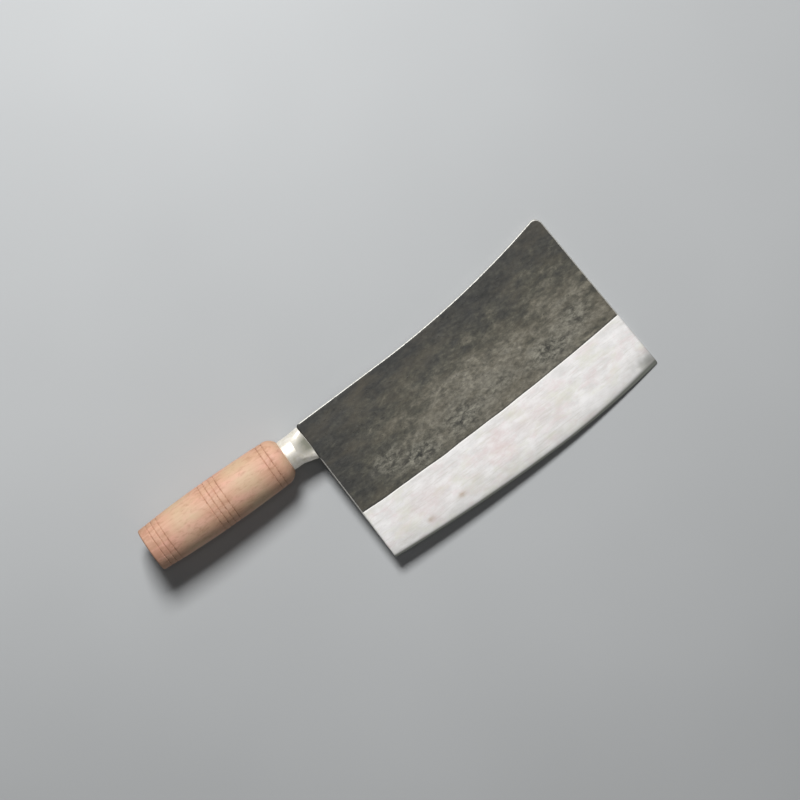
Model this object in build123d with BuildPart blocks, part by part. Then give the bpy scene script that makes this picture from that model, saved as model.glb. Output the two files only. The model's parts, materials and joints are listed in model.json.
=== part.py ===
from build123d import *

import math
import os

# A hand-forged meat cleaver, in millimetres, lying on its side on a table at Z = 0.
# +X runs from the butt of the handle to the far end of the blade, +Y from the edge to the spine.
#
# The blade is drawn in its own flat frame, "knife": X along the blade from the heel, Y towards
# the spine from the heel's top corner, Z across the blade's thickness from its middle plane.
# The handle is drawn in a second frame, "grip": X from the heel towards the butt.

# ---- driving dimensions: blade outline ----
heel_bottom = (1.9, -105.3)        # heel end of the cutting edge
tip_top = (204.0, 17.1)            # far end of the spine
tip_bottom = (211.3, -105.6)       # far end of the cutting edge
spine_rise_start = 62.0            # the spine is straight up to here, then sweeps up
spine_start_rise = 0.4             # height the straight stretch gains
spine_sweep_radius = 608.0
belly_x = 126.0                    # lowest point of the curved edge
belly_y = -111.4
edge_heel_radius = 1266.0          # curvature of the edge from the belly to the heel
edge_tip_radius = 627.0            # and from the belly to the tip
tip_corner_radius = 5.0
heel_corner_radius = 2.5
edge_corner_radius = 1.2

# ---- driving dimensions: blade section ----
heel_half_thickness = 2.4          # at the heel's top corner
thinning_to_tip = 0.00394          # loss of half thickness per mm along the blade
thinning_to_edge = 0.006           # loss of half thickness per mm from spine to edge
grind_low_x = 65.5                 # the ground band's upper border sags to here
grind_low_y = -71.3
grind_radius = 1812.0
shoulder_half_thickness = 0.6      # where the sharpening bevel starts
shoulder_height_belly = 2.2        # height of the sharpening bevel, heel to belly
shoulder_tip_radius = 400.0        # it widens along this curve towards the tip
apex_half_thickness = 0.12
core_half_thickness = 0.7          # hard steel inlaid in the softer body
core_top_y = -80.0
weld_low_x = 73.0                  # border where the steel comes out of the ground band
weld_low_y = -102.0
weld_radius = 624.0
overrun = 6.0                      # how far a cutting shape passes the outline

# ---- driving dimensions: handle, collar and tang ----
grip_axis_y = -12.5                # where the handle's axis meets the heel
grip_turn = 1.5                    # degrees, the butt leans towards the spine
collar_length = 16.5               # from the heel to the wood
collar_round_start = 9.0           # the collar is round from here to the wood
collar_radius = 10.5
collar_wall = 1.1
mouth_reach = 12.75                # half breadth of the flattened mouth
mouth_lobe_radius = 4.6            # the two rolled lobes of the mouth
mouth_waist = 3.4                  # half thickness where it is pinched on the tang
mouth_shift = 1.1                  # the mouth sits a little towards the edge
butt_x = 120.5
grip_belly_x = 69.5                # thickest place of the handle
grip_belly_radius = 16.7
grip_front_curve = 1100.0          # curvature of the barrel from its belly to the shoulder
grip_butt_curve = 660.0            # and from the belly to the butt
shoulder_x = 24.0                  # the barrel's round shoulder starts here
front_face_radius = 10.9
butt_round = 1.2
groove_half_width = 0.55
groove_group_pitch = 3.9
groove_groups = [(106.5, 3), (62.0, 4), (25.5, 2)]    # first groove's place and how many
bore_radius = 5.6
recess_radius = 9.2
recess_depth = 2.6
washer_radius = 9.0
washer_hole_radius = 4.3
washer_thickness = 1.2
tang_half_thickness = 2.1
tang_root_half_width = 9.0
tang_waist_x = 9.0
tang_waist_half_width = 4.8
tang_end_half_width = 3.2
tang_head_radius = 5.2
tang_head_height = 1.2

# ---- how it lies: on the handle's shoulder and on the far end of the ground band ----
foot_x = 23.85                     # the handle touches the table here
box_centre_along = 69.60           # from that place to the middle of the whole knife
box_centre_across = -36.08


def edge_y(x):
    """Height of the cutting edge: two curves that meet level at the belly."""
    run = x - belly_x
    radius = edge_heel_radius if run < 0 else edge_tip_radius
    return belly_y + run * run / (2 * radius)


def shoulder_y(x):
    """Upper border of the sharpening bevel, which widens from the belly to the tip."""
    run = x - belly_x
    radius = edge_heel_radius if run < 0 else shoulder_tip_radius
    return belly_y + shoulder_height_belly + run * run / (2 * radius)


def beyond_y(x):
    """A curve half as far outside the edge as the sharpening bevel is high."""
    return 1.5 * edge_y(x) - 0.5 * shoulder_y(x)


def grind_y(x):
    """Upper border of the ground band."""
    return grind_low_y + (x - grind_low_x) ** 2 / (2 * grind_radius)


def weld_y(x):
    """Where the grinding has bared the steel of the edge."""
    return weld_low_y + (x - weld_low_x) ** 2 / (2 * weld_radius)


def spine_y(x):
    """Height of the swept part of the spine."""
    return spine_start_rise + (x - spine_rise_start) ** 2 / (2 * spine_sweep_radius)


def flat_half_thickness(x, y):
    """Half thickness of the forged flats."""
    return heel_half_thickness - thinning_to_tip * x + thinning_to_edge * y


def tip_x(y):
    """The straight line of the blade's far end."""
    share = (tip_top[1] - y) / (tip_top[1] - tip_bottom[1])
    return tip_top[0] + share * (tip_bottom[0] - tip_top[0])


def grip_radius(x):
    """Radius of the handle's barrel."""
    run = x - grip_belly_x
    curve = grip_front_curve if run < 0 else grip_butt_curve
    return grip_belly_radius - run * run / (2 * curve)


# ---- frames ----
# The table, as seen from the knife, passes through three feet: the underside of the handle's
# shoulder, and the ground band's upper and lower borders at the far end of the blade.
# Turned inside out, that is the knife as seen from the table.
foot_turn = math.radians(grip_turn)
handle_foot = Vector(
    -foot_x * math.cos(foot_turn),
    grip_axis_y + foot_x * math.sin(foot_turn),
    -grip_radius(foot_x),
)
grind_foot_y = grind_y(tip_bottom[0])
grind_foot_x = tip_x(grind_foot_y)
grind_foot = Vector(grind_foot_x, grind_foot_y, -flat_half_thickness(grind_foot_x, grind_foot_y))
edge_foot_y = shoulder_y(tip_bottom[0])
edge_foot = Vector(tip_x(edge_foot_y), edge_foot_y, -shoulder_half_thickness)

table_normal = (edge_foot - handle_foot).cross(grind_foot - handle_foot)
table_at_foot = Plane(origin=handle_foot, x_dir=(1, 0, 0), z_dir=table_normal)
table = Plane(table_at_foot.location * Location((box_centre_along, box_centre_across, 0)))
knife = Plane(table.location.inverse())
grip = Plane(knife.location * Location((0, grip_axis_y, 0), (0, 0, 180 - grip_turn)))
grip_axis = Axis(grip.origin, grip.x_dir)


def on_knife(x, y, z):
    """A point given in the knife's frame."""
    return knife.from_local_coords((x, y, z))


def across_grip(distance):
    """The plane square to the handle's axis, this far from the heel."""
    return Plane(grip.from_local_coords((distance, 0, 0)), x_dir=grip.y_dir, z_dir=grip.x_dir)


upper_flat = Plane(
    knife.location
    * Location(
        (0, 0, heel_half_thickness),
        (math.degrees(thinning_to_edge), math.degrees(thinning_to_tip), 0),
    )
)
heel_angle = math.degrees(math.atan2(heel_bottom[0], -heel_bottom[1]))
heel_turn = Location((0, 0, 0), (0, 0, heel_angle))
heel_face = Plane(knife.location * heel_turn * Location((0, 0, 0), (0, -90, 0)))


def border(height, thickness, start, end):
    """A gently curved border along the blade, as an arc through three of its points."""
    middle = (start + end) / 2
    points = [on_knife(x, height(x), thickness(x, height(x))) for x in (start, middle, end)]
    return Edge.make_three_point_arc(*points)


# ---- blade, whole ----
with BuildSketch(knife) as blade_outline:
    with BuildLine():
        edge_to_belly = ThreePointArc(
            heel_bottom,
            (belly_x / 2, edge_y(belly_x / 2)),
            (belly_x, belly_y),
        )
        belly_to_tip = ThreePointArc(
            (belly_x, belly_y),
            ((belly_x + tip_bottom[0]) / 2, edge_y((belly_x + tip_bottom[0]) / 2)),
            tip_bottom,
        )
        far_end = Line(tip_bottom, tip_top)
        spine_sweep = ThreePointArc(
            tip_top,
            ((spine_rise_start + tip_top[0]) / 2, spine_y((spine_rise_start + tip_top[0]) / 2)),
            (spine_rise_start, spine_start_rise),
        )
        spine_straight = Line((spine_rise_start, spine_start_rise), (0, 0))
        heel_end = Line((0, 0), heel_bottom)
    make_face()
    corners = blade_outline.vertices().sort_by(Axis.X)
    heel_corners = corners[:2].sort_by(Axis.Y)
    tip_corners = corners[-2:].sort_by(Axis.Y)
    fillet(tip_corners[1], radius=tip_corner_radius)
    fillet(heel_corners[1], radius=heel_corner_radius)
    fillet([heel_corners[0], tip_corners[0]], radius=edge_corner_radius)


def at_shoulder(x, y):
    """Half thickness all along the sharpening bevel's upper border."""
    return shoulder_half_thickness


def at_beyond(x, y):
    """Half thickness that the sharpening bevel would reach outside the edge."""
    return 1.5 * apex_half_thickness - 0.5 * shoulder_half_thickness


stretches = [(-overrun, belly_x), (belly_x, tip_bottom[0] + overrun)]
ground_faces = []
for start, end in stretches:
    grind_border = border(grind_y, flat_half_thickness, start, end)
    shoulder_border = border(shoulder_y, at_shoulder, start, end)
    outer_border = border(beyond_y, at_beyond, start, end)
    ground_faces.append(Face.make_surface_from_curves(grind_border, shoulder_border))
    ground_faces.append(Face.make_surface_from_curves(shoulder_border, outer_border))

with BuildPart() as blade:
    extrude(blade_outline.sketch, amount=2 * heel_half_thickness)
    split(bisect_by=upper_flat, keep=Keep.BOTTOM)
    for ground_face in ground_faces:
        extrude(ground_face, amount=3 * heel_half_thickness, dir=knife.z_dir, mode=Mode.SUBTRACT)
    mirror(about=knife)


# The steel of the edge sits in a slit between the body's two cheeks, and is bare below the weld.
weld_end_x = tip_bottom[0] + overrun
weld_mid_x = (weld_end_x - overrun) / 2
with BuildPart() as steel_room:
    with BuildSketch(knife):
        with BuildLine():
            weld_border = ThreePointArc(
                (-overrun, weld_y(-overrun)),
                (weld_mid_x, weld_y(weld_mid_x)),
                (weld_end_x, weld_y(weld_end_x)),
            )
            Polyline(weld_border @ 1, (weld_end_x, 2 * belly_y), (-overrun, 2 * belly_y), weld_border @ 0)
        make_face()
    extrude(amount=2 * heel_half_thickness, both=True)
    with BuildSketch(knife):
        with Locations((-overrun, core_top_y)):
            Rectangle(weld_end_x + overrun, -core_top_y, align=(Align.MIN, Align.MAX))
    extrude(amount=core_half_thickness, both=True)

# ---- blade_body: the forged body with its tang, peened over the washer at the butt ----
washer_outer_x = butt_x - recess_depth + washer_thickness
with BuildPart() as blade_body:
    add(blade)
    add(steel_room, mode=Mode.SUBTRACT)
    with BuildSketch(grip):
        with BuildLine():
            Polyline(
                (-overrun / 2, mouth_shift + tang_root_half_width),
                (1.5, mouth_shift + tang_root_half_width),
                (tang_waist_x, tang_waist_half_width),
                (washer_outer_x, tang_end_half_width),
                (washer_outer_x, -tang_end_half_width),
                (tang_waist_x, -tang_waist_half_width),
                (1.5, mouth_shift - tang_root_half_width),
                (-overrun / 2, mouth_shift - tang_root_half_width),
                close=True,
            )
        make_face()
    extrude(amount=tang_half_thickness, both=True)
    with BuildSketch(across_grip(washer_outer_x)):
        Circle(tang_head_radius)
    head = extrude(amount=tang_head_height)
    fillet(head.edges().sort_by(grip_axis)[-1], radius=0.75 * tang_head_height)
blade_body.part.label = "blade_body"

# ---- edge_steel: the hard strip that carries the cutting edge ----
with BuildPart() as edge_steel:
    add(blade)
    add(steel_room, mode=Mode.INTERSECT)
edge_steel.part.label = "edge_steel"


def tube_section(distance, corner, reach, waist, shift):
    """Section of a tube pinched between two lobes; a round tube is the special case."""
    corner_x, corner_y = corner
    with BuildSketch(across_grip(distance)) as section:
        with BuildLine():
            for side in (1, -1):
                ThreePointArc(
                    (shift + side * corner_x, -corner_y),
                    (shift + side * reach, 0),
                    (shift + side * corner_x, corner_y),
                )
                ThreePointArc(
                    (shift - corner_x, side * corner_y),
                    (shift, side * waist),
                    (shift + corner_x, side * corner_y),
                )
        make_face()
    return section.sketch


def round_section(distance, radius):
    """A round tube's section, split at the same four places as the pinched one."""
    corner = radius * math.sqrt(0.5)
    return tube_section(distance, (corner, corner), radius, radius, 0)


def mouth_section(distance, inset):
    """The pinched mouth, or the hollow inside it when inset by the wall."""
    lobe = mouth_lobe_radius - inset
    corner = (mouth_reach - mouth_lobe_radius, lobe)
    return tube_section(distance, corner, mouth_reach - inset, mouth_waist - inset, mouth_shift)


mouth_start = -overrun / 2         # drawn into the blade, then trimmed on the heel
collar_bore = collar_radius - collar_wall

# ---- neck_ferrule: sheet-metal collar, round on the wood and pinched on the tang ----
with BuildPart() as neck_ferrule:
    loft(sections=[mouth_section(mouth_start, 0), round_section(collar_round_start, collar_radius)])
    with BuildSketch(across_grip(collar_round_start)):
        Circle(collar_radius)
    extrude(amount=collar_length - collar_round_start)
    loft(
        sections=[
            mouth_section(mouth_start, collar_wall),
            round_section(collar_round_start, collar_bore),
        ],
        mode=Mode.SUBTRACT,
    )
    with BuildSketch(across_grip(collar_round_start)):
        Circle(collar_bore)
    extrude(amount=collar_length - collar_round_start, mode=Mode.SUBTRACT)
    split(bisect_by=heel_face, keep=Keep.TOP)
neck_ferrule.part.label = "neck_ferrule"

# ---- handle_grip: turned wood, with a short tenon in the collar and a bore for the tang ----
with BuildPart() as handle_grip:
    with BuildSketch(grip):
        with BuildLine():
            front = Polyline(
                (collar_round_start, 0),
                (collar_round_start, collar_bore),
                (collar_length, collar_bore),
                (collar_length, front_face_radius),
            )
            shoulder = TangentArc(
                (shoulder_x, grip_radius(shoulder_x)),
                front @ 1,
                tangent=(-1, (shoulder_x - grip_belly_x) / grip_front_curve),
            )
            half_way = (shoulder_x + grip_belly_x) / 2
            barrel_front = ThreePointArc(
                shoulder @ 0,
                (half_way, grip_radius(half_way)),
                (grip_belly_x, grip_belly_radius),
            )
            half_way = (grip_belly_x + butt_x) / 2
            barrel_back = ThreePointArc(
                barrel_front @ 1,
                (half_way, grip_radius(half_way)),
                (butt_x, grip_radius(butt_x)),
            )
            Polyline(barrel_back @ 1, (butt_x, 0), front @ 0)
        make_face()
    revolve(axis=grip_axis)
    fillet(handle_grip.edges().sort_by(grip_axis)[-1], radius=butt_round)
    with BuildSketch(grip):
        for first_groove, count in groove_groups:
            for turn in range(count):
                groove_x = first_groove + turn * groove_group_pitch
                with Locations((groove_x, grip_radius(groove_x))):
                    Rectangle(
                        groove_half_width * math.sqrt(2),
                        groove_half_width * math.sqrt(2),
                        rotation=45,
                    )
    revolve(axis=grip_axis, mode=Mode.SUBTRACT)
    with BuildSketch(across_grip(0)):
        Circle(bore_radius)
    extrude(amount=butt_x, mode=Mode.SUBTRACT)
    with BuildSketch(across_grip(butt_x)):
        Circle(recess_radius)
    extrude(amount=-recess_depth, mode=Mode.SUBTRACT)
handle_grip.part.label = "handle_grip"

# ---- tang_bedding: pitch that fills the collar and the bore around the tang ----
with BuildPart() as tang_bedding:
    loft(
        sections=[
            mouth_section(mouth_start, collar_wall),
            round_section(collar_round_start, collar_bore),
        ]
    )
    with BuildSketch(across_grip(collar_round_start)):
        Circle(bore_radius)
    extrude(amount=butt_x - recess_depth - collar_round_start)
    split(bisect_by=heel_face, keep=Keep.TOP)
    add(blade_body, mode=Mode.SUBTRACT)
tang_bedding.part.label = "tang_bedding"

# ---- butt_washer: let into the butt, the tang is peened over it ----
with BuildPart() as butt_washer:
    with BuildSketch(across_grip(butt_x - recess_depth)):
        Circle(washer_radius)
        Circle(washer_hole_radius, mode=Mode.SUBTRACT)
    extrude(amount=washer_thickness)
butt_washer.part.label = "butt_washer"

os.makedirs("parts", exist_ok=True)
pieces = [blade_body, edge_steel, neck_ferrule, handle_grip, tang_bedding, butt_washer]
for piece in pieces:
    export_step(piece.part, f"parts/{piece.part.label}.step")
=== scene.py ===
import json
import math

import bpy
import numpy as np
from mathutils import Matrix, Vector


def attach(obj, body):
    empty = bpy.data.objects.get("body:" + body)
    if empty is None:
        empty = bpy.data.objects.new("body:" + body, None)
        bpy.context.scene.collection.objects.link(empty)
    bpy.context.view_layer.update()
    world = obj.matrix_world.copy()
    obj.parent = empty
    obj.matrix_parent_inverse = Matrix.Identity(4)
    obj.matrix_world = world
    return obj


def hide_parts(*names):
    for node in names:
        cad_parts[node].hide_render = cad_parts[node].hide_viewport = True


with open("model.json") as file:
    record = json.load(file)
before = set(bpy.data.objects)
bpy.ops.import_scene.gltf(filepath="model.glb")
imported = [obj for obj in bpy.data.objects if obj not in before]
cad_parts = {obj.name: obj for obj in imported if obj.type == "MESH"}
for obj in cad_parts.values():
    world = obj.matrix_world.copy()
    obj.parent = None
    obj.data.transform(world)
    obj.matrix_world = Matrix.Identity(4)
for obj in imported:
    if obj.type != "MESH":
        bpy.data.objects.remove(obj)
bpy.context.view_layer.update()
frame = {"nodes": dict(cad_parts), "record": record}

# A hand-forged meat cleaver lying on its side. Shapes are worked out in millimetres in two
# flat frames and carried into the row's frame, in metres, when a mesh is made:
#   knife: X along the blade from the heel, Y towards the spine, Z across its thickness
#   grip:  X along the handle's axis from the heel to the butt, Y and Z across it

MM = 0.001

# ---- blade outline, as in the CAD ----
HEEL_BOTTOM = (1.9, -105.3)
TIP_TOP = (204.0, 17.1)
TIP_BOTTOM = (211.3, -105.6)
SPINE_RISE_START = 62.0
SPINE_START_RISE = 0.4
SPINE_SWEEP_RADIUS = 608.0
BELLY = (126.0, -111.4)
EDGE_HEEL_RADIUS = 1266.0
EDGE_TIP_RADIUS = 627.0
TIP_CORNER_RADIUS = 5.0
HEEL_CORNER_RADIUS = 2.5
EDGE_CORNER_RADIUS = 1.2

# ---- blade section, as in the CAD ----
HEEL_HALF_THICKNESS = 2.4
THINNING_TO_TIP = 0.00394
THINNING_TO_EDGE = 0.006
GRIND_LOW = (65.5, -71.3)
GRIND_RADIUS = 1812.0
SHOULDER_HALF_THICKNESS = 0.6
SHOULDER_HEIGHT = 2.2
SHOULDER_TIP_RADIUS = 400.0
APEX_HALF_THICKNESS = 0.12
CORE_HALF_THICKNESS = 0.7
CORE_TOP_Y = -80.0
WELD_LOW = (73.0, -102.0)
WELD_RADIUS = 624.0

# ---- handle and collar, as in the CAD ----
GRIP_AXIS_Y = -12.5
GRIP_TURN = 1.5
COLLAR_LENGTH = 16.5
COLLAR_ROUND_START = 9.0
COLLAR_RADIUS = 10.5
COLLAR_WALL = 1.1
MOUTH_REACH = 12.75
MOUTH_LOBE_RADIUS = 4.6
MOUTH_WAIST = 3.4
MOUTH_SHIFT = 1.1
MOUTH_START = -3.0
BUTT_X = 120.5
GRIP_BELLY_X = 69.5
GRIP_BELLY_RADIUS = 16.7
GRIP_FRONT_CURVE = 1100.0
GRIP_BUTT_CURVE = 660.0
SHOULDER_X = 24.0
FRONT_FACE_RADIUS = 10.9
BUTT_ROUND = 1.2
GROOVE_DEPTH = 0.35
GROOVE_HALF_WIDTH = 0.6
GROOVE_PITCH = 3.9
GROOVE_GROUPS = [(106.5, 3), (62.0, 4), (25.5, 2)]
BORE_RADIUS = 5.6
RECESS_RADIUS = 9.2
RECESS_DEPTH = 2.6
WASHER_RADIUS = 9.0
WASHER_HOLE_RADIUS = 4.3
WASHER_THICKNESS = 1.2
TANG_HALF_THICKNESS = 2.1
TANG_ROOT_HALF_WIDTH = 9.0
TANG_WAIST_X = 9.0
TANG_WAIST_HALF_WIDTH = 4.8
TANG_END_HALF_WIDTH = 3.2
TANG_HEAD_RADIUS = 5.2
TANG_HEAD_HEIGHT = 1.2

# ---- looks that only this model has ----
EASED_EDGE = 0.9                    # the forged edges are rounded by the file this far in
BLADE_STEP = 0.75                   # spacing of the blade's mesh
SHARP_ANGLE = 38                    # degrees between faces above which a mesh's edge stays sharp
# Degrees between the sides that meet in each rounded corner. The tip's is set under its true 80,
# so that the eased corner stays inside the CAD's.
TIP_CORNER_OPENING = 77
HEEL_CORNER_OPENING = 89
EDGE_TIP_OPENING = 94
EDGE_HEEL_OPENING = 97
MOUNT_PLACE = (100.0, -26.0)        # where the two flat mounts lie, in the knife's frame

# Soft-edged patches on the blade, each as (along, across, reach along, reach across, strength):
# on the band rust, pink clouds and painted shade near the edge and tip, and on the scale paler, darker
# and broken places.
STAINS = [(59.6, -98.7, 2.6, 1.6, 0.75), (34.1, -99.5, 2.2, 1.5, 0.7), (74, -95, 5, 3, 0.2)]
BLUSHED = [(96, -89, 9, 9, 0.6), (125, -84, 20, 12, 0.2), (42, -88, 16, 9, 0.25)]
PAINTED_EDGE_SHADE = [(208, -101, 9, 6, 1.0), (6, -108, 12, 3, 0.35), (110, -112, 90, 2.0, 0.4)]
PALER = [(112, -43, 62, 22, 1.0), (180, -38, 26, 26, 0.9), (165, -55, 30, 12, 1.0)]
DARKER = [(4, -30, 26, 60, 0.8), (60, 2, 80, 12, 0.7), (196, 14, 20, 12, 0.4)]
SPECKLED = [
    (36, -54, 14, 11, 0.6), (54, -62, 16, 8, 0.8), (90, -59, 18, 10, 0.7),
    (122, -56, 16, 9, 0.45), (160, -58, 20, 9, 0.75), (186, -50, 13, 10, 0.6),
]

VIEW_TURN = math.radians(36.5)      # the blade's angle in the picture
KEY_TURN = math.radians(22)         # the key light stands this far left of the picture's top
KEY_RISE = math.radians(52)         # and this high above the table
KEY_DISTANCE = 1.3
KEY_SIZE = 0.42
OVERHEAD_HEIGHT = 2.4
OVERHEAD_SIZE = 1.0
FILL_RIGHT = 2.5
FILL_DOWN = 1.4
FILL_HEIGHT = 1.1
FILL_SIZE = 2.1
KEY_WATTS = 21
OVERHEAD_WATTS = 3.5
FILL_WATTS = 8
SKY_TINT = (0.95, 0.97, 1.0, 1)
SKY_STRENGTH = 0.02
SENSOR_WIDTH = 36
VIEW_WIDTH = 0.509                  # metres seen across the picture, at the blade
VIEW_HEIGHT = 1.5                   # camera above the blade
VIEW_CENTRE = (66.8, 16.4)          # picture's middle from the heel's top, right and up, in mm


# ======================================================================
# frames
# ======================================================================

def knife_frame():
    """The blade's frame in the row's frame, found from the mounts on its two flats."""
    flats = {mount["name"]: mount for mount in frame["record"]["mounts"]}
    upper, lower = flats["upper_flat"], flats["lower_flat"]
    normal = (Vector(upper["axis"]) - Vector(lower["axis"])).normalized()
    along = Vector((normal.z, 0, -normal.x)).normalized()
    across = normal.cross(along)
    middle = (Vector(upper["pos_m"]) + Vector(lower["pos_m"])) / 2
    matrix = Matrix((along, across, normal)).transposed().to_4x4()
    matrix.translation = middle - (along * MOUNT_PLACE[0] + across * MOUNT_PLACE[1]) * MM
    return matrix


KNIFE = knife_frame()
GRIP = (
    KNIFE
    @ Matrix.Translation((0, GRIP_AXIS_Y * MM, 0))
    @ Matrix.Rotation(math.radians(180 - GRIP_TURN), 4, "Z")
)


# ======================================================================
# outline and section formulas, for arrays of points
# ======================================================================

def edge_y(x):
    run = x - BELLY[0]
    return BELLY[1] + run * run / (2 * np.where(run < 0, EDGE_HEEL_RADIUS, EDGE_TIP_RADIUS))


def shoulder_y(x):
    run = x - BELLY[0]
    radius = np.where(run < 0, EDGE_HEEL_RADIUS, SHOULDER_TIP_RADIUS)
    return BELLY[1] + SHOULDER_HEIGHT + run * run / (2 * radius)


def grind_y(x):
    return GRIND_LOW[1] + (x - GRIND_LOW[0]) ** 2 / (2 * GRIND_RADIUS) + 0.22 * waves(x, 0 * x, 26, 11)


def weld_y(x):
    return WELD_LOW[1] + (x - WELD_LOW[0]) ** 2 / (2 * WELD_RADIUS)


def core_y(x):
    return CORE_TOP_Y + 0 * x


def spine_y(x):
    straight = SPINE_START_RISE * x / SPINE_RISE_START
    run = np.maximum(x - SPINE_RISE_START, 0)
    swept = SPINE_START_RISE + run * run / (2 * SPINE_SWEEP_RADIUS)
    return np.where(x < SPINE_RISE_START, straight, swept)


def heel_x(y):
    return HEEL_BOTTOM[0] * y / HEEL_BOTTOM[1]


def far_x(y):
    share = (TIP_TOP[1] - y) / (TIP_TOP[1] - TIP_BOTTOM[1])
    return TIP_TOP[0] + share * (TIP_BOTTOM[0] - TIP_TOP[0])


def flat_half_thickness(x, y):
    """Half thickness of the blade's flats, before waves, dents and grinding."""
    return HEEL_HALF_THICKNESS - THINNING_TO_TIP * x + THINNING_TO_EDGE * y


def waves(x, y, size, seed):
    """Smooth irregular ripples, about -1 to 1, whose bumps are about size mm apart."""
    draw = np.random.default_rng(seed)
    total = 0
    for _ in range(18):
        heading = draw.uniform(0, 2 * math.pi)
        pitch = size * draw.uniform(0.7, 1.8)
        phase = draw.uniform(0, 2 * math.pi)
        total = total + np.sin(
            (x * math.cos(heading) + y * math.sin(heading)) * 2 * math.pi / pitch + phase
        )
    return total / 6


def dents(x, y, count, seed, size, depth):
    """Shallow hammer marks scattered over the flats."""
    draw = np.random.default_rng(seed)
    total = 0
    for _ in range(count):
        centre_x = draw.uniform(-5, 215)
        centre_y = draw.uniform(-75, 20)
        reach = size * draw.uniform(0.6, 1.5)
        squeeze = draw.uniform(0.6, 1.0)
        heading = draw.uniform(0, math.pi)
        along = (x - centre_x) * math.cos(heading) + (y - centre_y) * math.sin(heading)
        across = (y - centre_y) * math.cos(heading) - (x - centre_x) * math.sin(heading)
        distance = (along / reach) ** 2 + (across / (reach * squeeze)) ** 2
        total = total - depth * draw.uniform(0.4, 1.0) * np.exp(-2.2 * distance)
    return total


# ======================================================================
# meshes
# ======================================================================

def make_piece(name, points, faces, base, materials, slots, marks):
    """A piece from points in millimetres in the base frame, with smooth faces.

    The points are also stored as they are, with the marks, for the materials to read."""
    points = np.asarray(points, dtype=float)
    turn = np.array(base)
    placed = points * MM @ turn[:3, :3].T + turn[:3, 3]
    mesh = bpy.data.meshes.new(name)
    mesh.from_pydata(placed.tolist(), [], faces)
    for material in materials:
        mesh.materials.append(material)
    if slots is not None:
        mesh.polygons.foreach_set("material_index", np.asarray(slots, dtype=np.int32))
    mesh.polygons.foreach_set("use_smooth", np.ones(len(mesh.polygons), dtype=bool))
    attribute = mesh.attributes.new("place", "FLOAT_VECTOR", "POINT")
    attribute.data.foreach_set("vector", points.astype(np.float32).ravel())
    for mark, values in marks.items():
        attribute = mesh.attributes.new(mark, "FLOAT", "POINT")
        attribute.data.foreach_set("value", np.asarray(values, dtype=np.float32))
    mesh.update()
    mesh.validate()
    mesh.set_sharp_from_angle(angle=math.radians(SHARP_ANGLE))
    piece = bpy.data.objects.new(name, mesh)
    bpy.context.collection.objects.link(piece)
    return piece


def around(sides):
    """Evenly spaced angles once round."""
    return np.linspace(0, 2 * math.pi, sides, endpoint=False)


def spread(length, step):
    """Places from 0 to length, a step apart, with a few more close to both ends."""
    middle = np.linspace(0, length, round(length / step) + 1)
    crowd = np.array([0.12, 0.28, 0.48])
    return np.unique(np.concatenate([middle, crowd, length - crowd]).round(5))


def round_corner(first, second, radius, opening):
    """Moves points near a corner so that it is round.

    first and second are the distances from the two sides that meet there, and opening is the
    angle between them in degrees. Returns the new distances, and how far each point lies
    inside the rounded border."""
    radius = radius / math.tan(math.radians(opening / 2))
    inside = (first < radius) & (second < radius)
    p = np.clip((radius - first) / radius, 0, 1)
    q = np.clip((radius - second) / radius, 0, 1)
    rounded_p = p * np.sqrt(1 - q * q / 2)
    rounded_q = q * np.sqrt(1 - p * p / 2)
    new_first = np.where(inside, radius * (1 - rounded_p), first)
    new_second = np.where(inside, radius * (1 - rounded_q), second)
    depth = radius * (1 - np.hypot(rounded_p, rounded_q))
    return new_first, new_second, np.where(inside, depth, np.minimum(first, second))


def blade_plan():
    """The blade's mesh seen flat: rows from spine to edge, columns from heel to far end.

    Returns x, y, the distance from the eased border, and the row where each zone ends."""
    # each zone has an upper and a lower line, a number of rows, and may crowd them at its top
    zones = [
        (spine_y, grind_y, 96, True),
        (grind_y, core_y, 12, False),
        (core_y, weld_y, 18, False),
        (weld_y, shoulder_y, 6, False),
        (shoulder_y, edge_y, 5, False),
    ]
    rows = []
    ends = []
    for upper, lower, count, crowded in zones:
        shares = np.linspace(0, 1, count + 1)
        if crowded:
            shares = np.unique(np.concatenate([shares, [0.0014, 0.0034, 0.0058, 0.0082]]))
        if rows:
            shares = shares[1:]
        rows += [(upper, lower, share) for share in shares]
        ends.append(len(rows) - 1)
    stations = spread(TIP_BOTTOM[0], BLADE_STEP) / TIP_BOTTOM[0]
    x = np.zeros((len(rows), len(stations)))
    y = np.zeros_like(x)
    for index, (upper, lower, share) in enumerate(rows):
        row_x = stations * TIP_BOTTOM[0]
        for _ in range(4):
            row_y = (1 - share) * upper(row_x) + share * lower(row_x)
            row_x = heel_x(row_y) + stations * (far_x(row_y) - heel_x(row_y))
        x[index] = row_x
        y[index] = row_y
    from_spine = spine_y(x) - y
    from_edge = y - edge_y(x)
    from_heel = x - heel_x(y)
    from_far = far_x(y) - x
    top_far, far_top, far_depth = round_corner(
        from_spine, from_far, TIP_CORNER_RADIUS, TIP_CORNER_OPENING
    )
    top_heel, heel_top, heel_depth = round_corner(
        from_spine, from_heel, HEEL_CORNER_RADIUS, HEEL_CORNER_OPENING
    )
    low_far, far_low, _ = round_corner(from_edge, from_far, EDGE_CORNER_RADIUS, EDGE_TIP_OPENING)
    low_heel, heel_low, _ = round_corner(
        from_edge, from_heel, EDGE_CORNER_RADIUS, EDGE_HEEL_OPENING
    )
    y = y + (from_spine - top_far) + (from_spine - top_heel)
    y = y + (low_far - from_edge) + (low_heel - from_edge)
    x = x + (from_far - far_top) + (from_far - far_low)
    x = x + (heel_top - from_heel) + (heel_low - from_heel)
    border = np.minimum(np.minimum(far_depth, heel_depth), np.minimum(from_far, from_heel))
    return x, y, border, ends


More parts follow.
